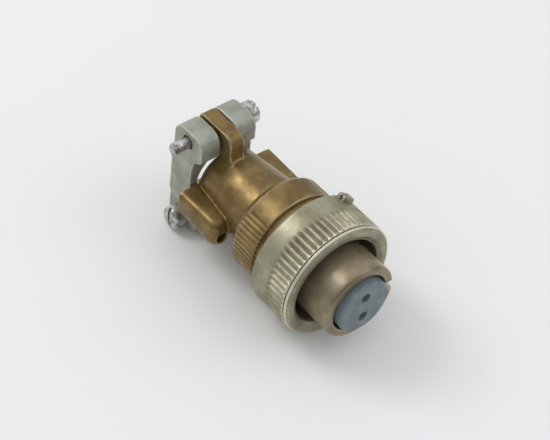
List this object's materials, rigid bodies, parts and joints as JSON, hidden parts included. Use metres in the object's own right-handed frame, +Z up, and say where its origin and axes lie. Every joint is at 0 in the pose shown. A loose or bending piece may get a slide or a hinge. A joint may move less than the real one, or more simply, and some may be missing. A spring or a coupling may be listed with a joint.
{
  "type": "circular connector plug with cable clamp",
  "caption": "Straight circular cable plug with a threaded coupling nut, socket contacts in a grey insert and a screw-down cable clamp.",
  "frame": {"origin": "on the mating axis, in the plane just ahead of the coupling nut's flutes, which is also the middle of the plug barrel's sleeve", "axes": "+X along the mating axis towards the mating end, -X towards the cable, +Z up through one socket contact and one clamp arm as the plug lies"},
  "size_m": [0.0482, 0.0246, 0.0246],
  "materials": {
    "nut_finish": "satin, drab conversion coating",
    "shell_finish": "satin, drab conversion coating",
    "endbell_finish": "satin bronze-olive coating on a casting",
    "saddle_finish": "matt grey coating on a casting",
    "steel": "plated",
    "contact_metal": "plated",
    "insert_rubber": "matt grey resilient moulding",
    "seal_rubber": "matt"
  },
  "bodies": {
    "shell": {"plug_shell": "shell_finish", "wave_washer": "steel", "nut_retaining_ring": "steel", "mating_gasket": "seal_rubber", "endbell": "endbell_finish", "endbell_seal": "seal_rubber", "socket_insert": "insert_rubber", "upper_contact": "contact_metal", "lower_contact": "contact_metal", "upper_hood": "steel", "lower_hood": "steel", "rear_grommet": "seal_rubber", "grommet_ferrule": "steel"},
    "nut": {"coupling_nut": "nut_finish"},
    "near_clamp": {"near_saddle": "saddle_finish", "lower_lock_washer": "steel"},
    "far_clamp": {"far_saddle": "saddle_finish", "upper_lock_washer": "steel"},
    "upper_screw": {"upper_clamp_screw": "steel"},
    "lower_screw": {"lower_clamp_screw": "steel"}
  },
  "joints": [
    {"name": "nut_turn", "type": "hinge", "parent": "shell", "child": "nut", "pos_m": [-0.0085, 0, 0], "axis": [1, 0, 0], "continuous": true},
    {"name": "near_saddle_slide", "type": "slide", "parent": "shell", "child": "near_clamp", "axis": [0, 1, 0], "range_m": [-0.0015, 0.0006]},
    {"name": "far_saddle_slide", "type": "slide", "parent": "shell", "child": "far_clamp", "axis": [0, 1, 0], "range_m": [0, 0.0015]},
    {"name": "upper_screw_turn", "type": "hinge", "parent": "far_clamp", "child": "upper_screw", "pos_m": [-0.0361, 0, 0.0095], "axis": [0, -1, 0], "range_deg": [-851, 341]},
    {"name": "lower_screw_turn", "type": "hinge", "parent": "near_clamp", "child": "lower_screw", "pos_m": [-0.0361, 0, -0.0095], "axis": [0, 1, 0], "range_deg": [-851, 341]}
  ],
  "couplings": [
    {"joint": "upper_screw_turn", "follows": "near_saddle_slide", "rad_per_m": 9894.8},
    {"joint": "lower_screw_turn", "follows": "near_saddle_slide", "rad_per_m": 9894.8}
  ]
}
